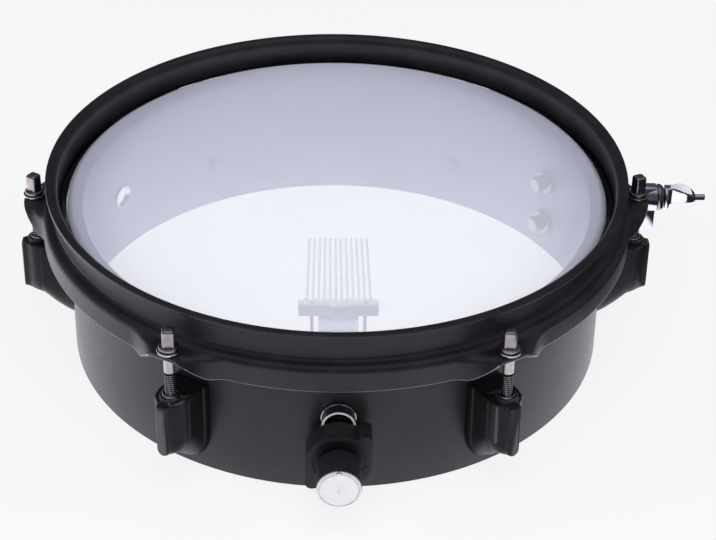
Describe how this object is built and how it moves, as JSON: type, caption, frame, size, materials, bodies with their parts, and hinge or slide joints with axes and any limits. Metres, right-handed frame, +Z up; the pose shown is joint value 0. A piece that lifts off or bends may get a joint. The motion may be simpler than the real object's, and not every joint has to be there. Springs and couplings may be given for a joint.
{
  "type": "effect snare drum",
  "caption": "Shallow metal snare drum with a hazy film head, pressed hoop, tension rods, a lift lever for its coiled wires and a side clamp for a stand tube.",
  "frame": {"origin": "centre of the object's outline at the height of the shell's bottom edge", "axes": "+Z up through the head, -Y towards the lever and knob, +X towards the clamp"},
  "size_m": [0.3414, 0.2998, 0.0881],
  "materials": {
    "black_powder_coat": "black powder coat, fine texture, half gloss",
    "black_casting": "black paint on a smooth casting, glossy",
    "black_plastic": "moulded black plastic, half gloss",
    "hazy_film": "hazy drum head film, see-through, smooth",
    "channel_aluminium": "rolled channel, satin",
    "black_nickel": "dark nickel plate, glossy",
    "bright_chrome": "bright chrome plate",
    "plain_steel": "plain zinc-plated steel",
    "pale_zinc": "satin zinc and steel wire"
  },
  "bodies": {
    "drum": {"shell": "black_powder_coat", "vent_grommet": "bright_chrome", "head_film": "hazy_film", "flesh_hoop": "channel_aluminium", "hoop": "black_powder_coat", "rod_washer_1": "black_nickel", "rod_washer_2": "black_nickel", "rod_washer_3": "black_nickel", "rod_washer_4": "black_nickel", "rod_washer_5": "black_nickel", "rod_washer_6": "black_nickel", "lug_1": "black_casting", "lug_2": "black_casting", "lug_3": "black_casting", "lug_4": "black_casting", "lug_5": "black_casting", "lug_6": "black_casting", "lug_insert_1": "bright_chrome", "lug_insert_2": "bright_chrome", "lug_insert_3": "bright_chrome", "lug_insert_4": "bright_chrome", "lug_insert_5": "bright_chrome", "lug_insert_6": "bright_chrome", "lug_screw_1": "black_casting", "lug_screw_2": "black_casting", "lug_screw_3": "black_casting", "lug_screw_4": "black_casting", "lug_screw_5": "black_casting", "lug_screw_6": "black_casting", "strainer_base": "black_casting", "strainer_boss": "bright_chrome", "boss_screw": "black_casting", "strainer_bracket": "pale_zinc", "guide_pin_left": "plain_steel", "guide_pin_right": "plain_steel", "clamp_body": "bright_chrome", "clamp_bolt_1": "bright_chrome", "clamp_bolt_2": "bright_chrome", "clamp_cup_1": "bright_chrome", "clamp_cup_2": "bright_chrome", "clamp_ring": "black_nickel"},
    "rod_1": {"tension_rod_1": "black_nickel"},
    "rod_2": {"tension_rod_2": "black_nickel"},
    "rod_3": {"tension_rod_3": "black_nickel"},
    "rod_4": {"tension_rod_4": "black_nickel"},
    "rod_5": {"tension_rod_5": "black_nickel"},
    "rod_6": {"tension_rod_6": "black_nickel"},
    "lever": {"throw_off_lever": "black_casting", "lever_clip": "plain_steel"},
    "knob": {"tension_knob": "black_plastic", "knob_cap": "bright_chrome"},
    "carriage": {"snare_carriage": "pale_zinc"},
    "wires": {"wire_bar": "pale_zinc"},
    "clamp_tip": {"clamp_pad": "plain_steel"},
    "clamp_screw": {"clamp_wing_screw": "bright_chrome"}
  },
  "joints": [
    {"name": "rod_1_turn", "type": "hinge", "parent": "drum", "child": "rod_1", "pos_m": [0.12375, 0.0112, 0.06], "axis": [0, 0, 1], "continuous": true},
    {"name": "rod_2_turn", "type": "hinge", "parent": "drum", "child": "rod_2", "pos_m": [0.0521, 0.1353, 0.06], "axis": [0, 0, 1], "continuous": true},
    {"name": "rod_3_turn", "type": "hinge", "parent": "drum", "child": "rod_3", "pos_m": [-0.0912, 0.1353, 0.06], "axis": [0, 0, 1], "continuous": true},
    {"name": "rod_4_turn", "type": "hinge", "parent": "drum", "child": "rod_4", "pos_m": [-0.16285, 0.0112, 0.06], "axis": [0, 0, 1], "continuous": true},
    {"name": "rod_5_turn", "type": "hinge", "parent": "drum", "child": "rod_5", "pos_m": [-0.0912, -0.1129, 0.06], "axis": [0, 0, 1], "continuous": true},
    {"name": "rod_6_turn", "type": "hinge", "parent": "drum", "child": "rod_6", "pos_m": [0.0521, -0.1129, 0.06], "axis": [0, 0, 1], "continuous": true},
    {"name": "throw_off", "type": "hinge", "parent": "drum", "child": "lever", "pos_m": [-0.01955, -0.1088, 0.0272], "axis": [0, 1, 0], "range_deg": [0, 90]},
    {"name": "carriage_lift", "type": "slide", "parent": "drum", "child": "carriage", "axis": [0, 0, 1], "range_m": [-0.0048, 0]},
    {"name": "knob_turn", "type": "hinge", "parent": "lever", "child": "knob", "pos_m": [-0.01955, -0.1288, 0.0272], "axis": [0, 1, 0], "range_deg": [-270, 270]},
    {"name": "wire_height", "type": "slide", "parent": "carriage", "child": "wires", "axis": [0, 0, 1], "range_m": [-0.0007, 0.0007]},
    {"name": "clamp_pad_slide", "type": "slide", "parent": "drum", "child": "clamp_tip", "axis": [1, 0, 0], "range_m": [0, 0.007]},
    {"name": "clamp_screw_turn", "type": "hinge", "parent": "clamp_tip", "child": "clamp_screw", "pos_m": [0.14045, 0.0736, 0.0325], "axis": [1, 0, 0], "range_deg": [0, 2010]}
  ],
  "couplings": [
    {"joint": "carriage_lift", "follows": "throw_off", "m_per_rad": -0.0030558},
    {"joint": "wire_height", "follows": "knob_turn", "m_per_rad": 0.000148},
    {"joint": "clamp_pad_slide", "follows": "clamp_screw_turn", "m_per_rad": 0.00019894}
  ]
}
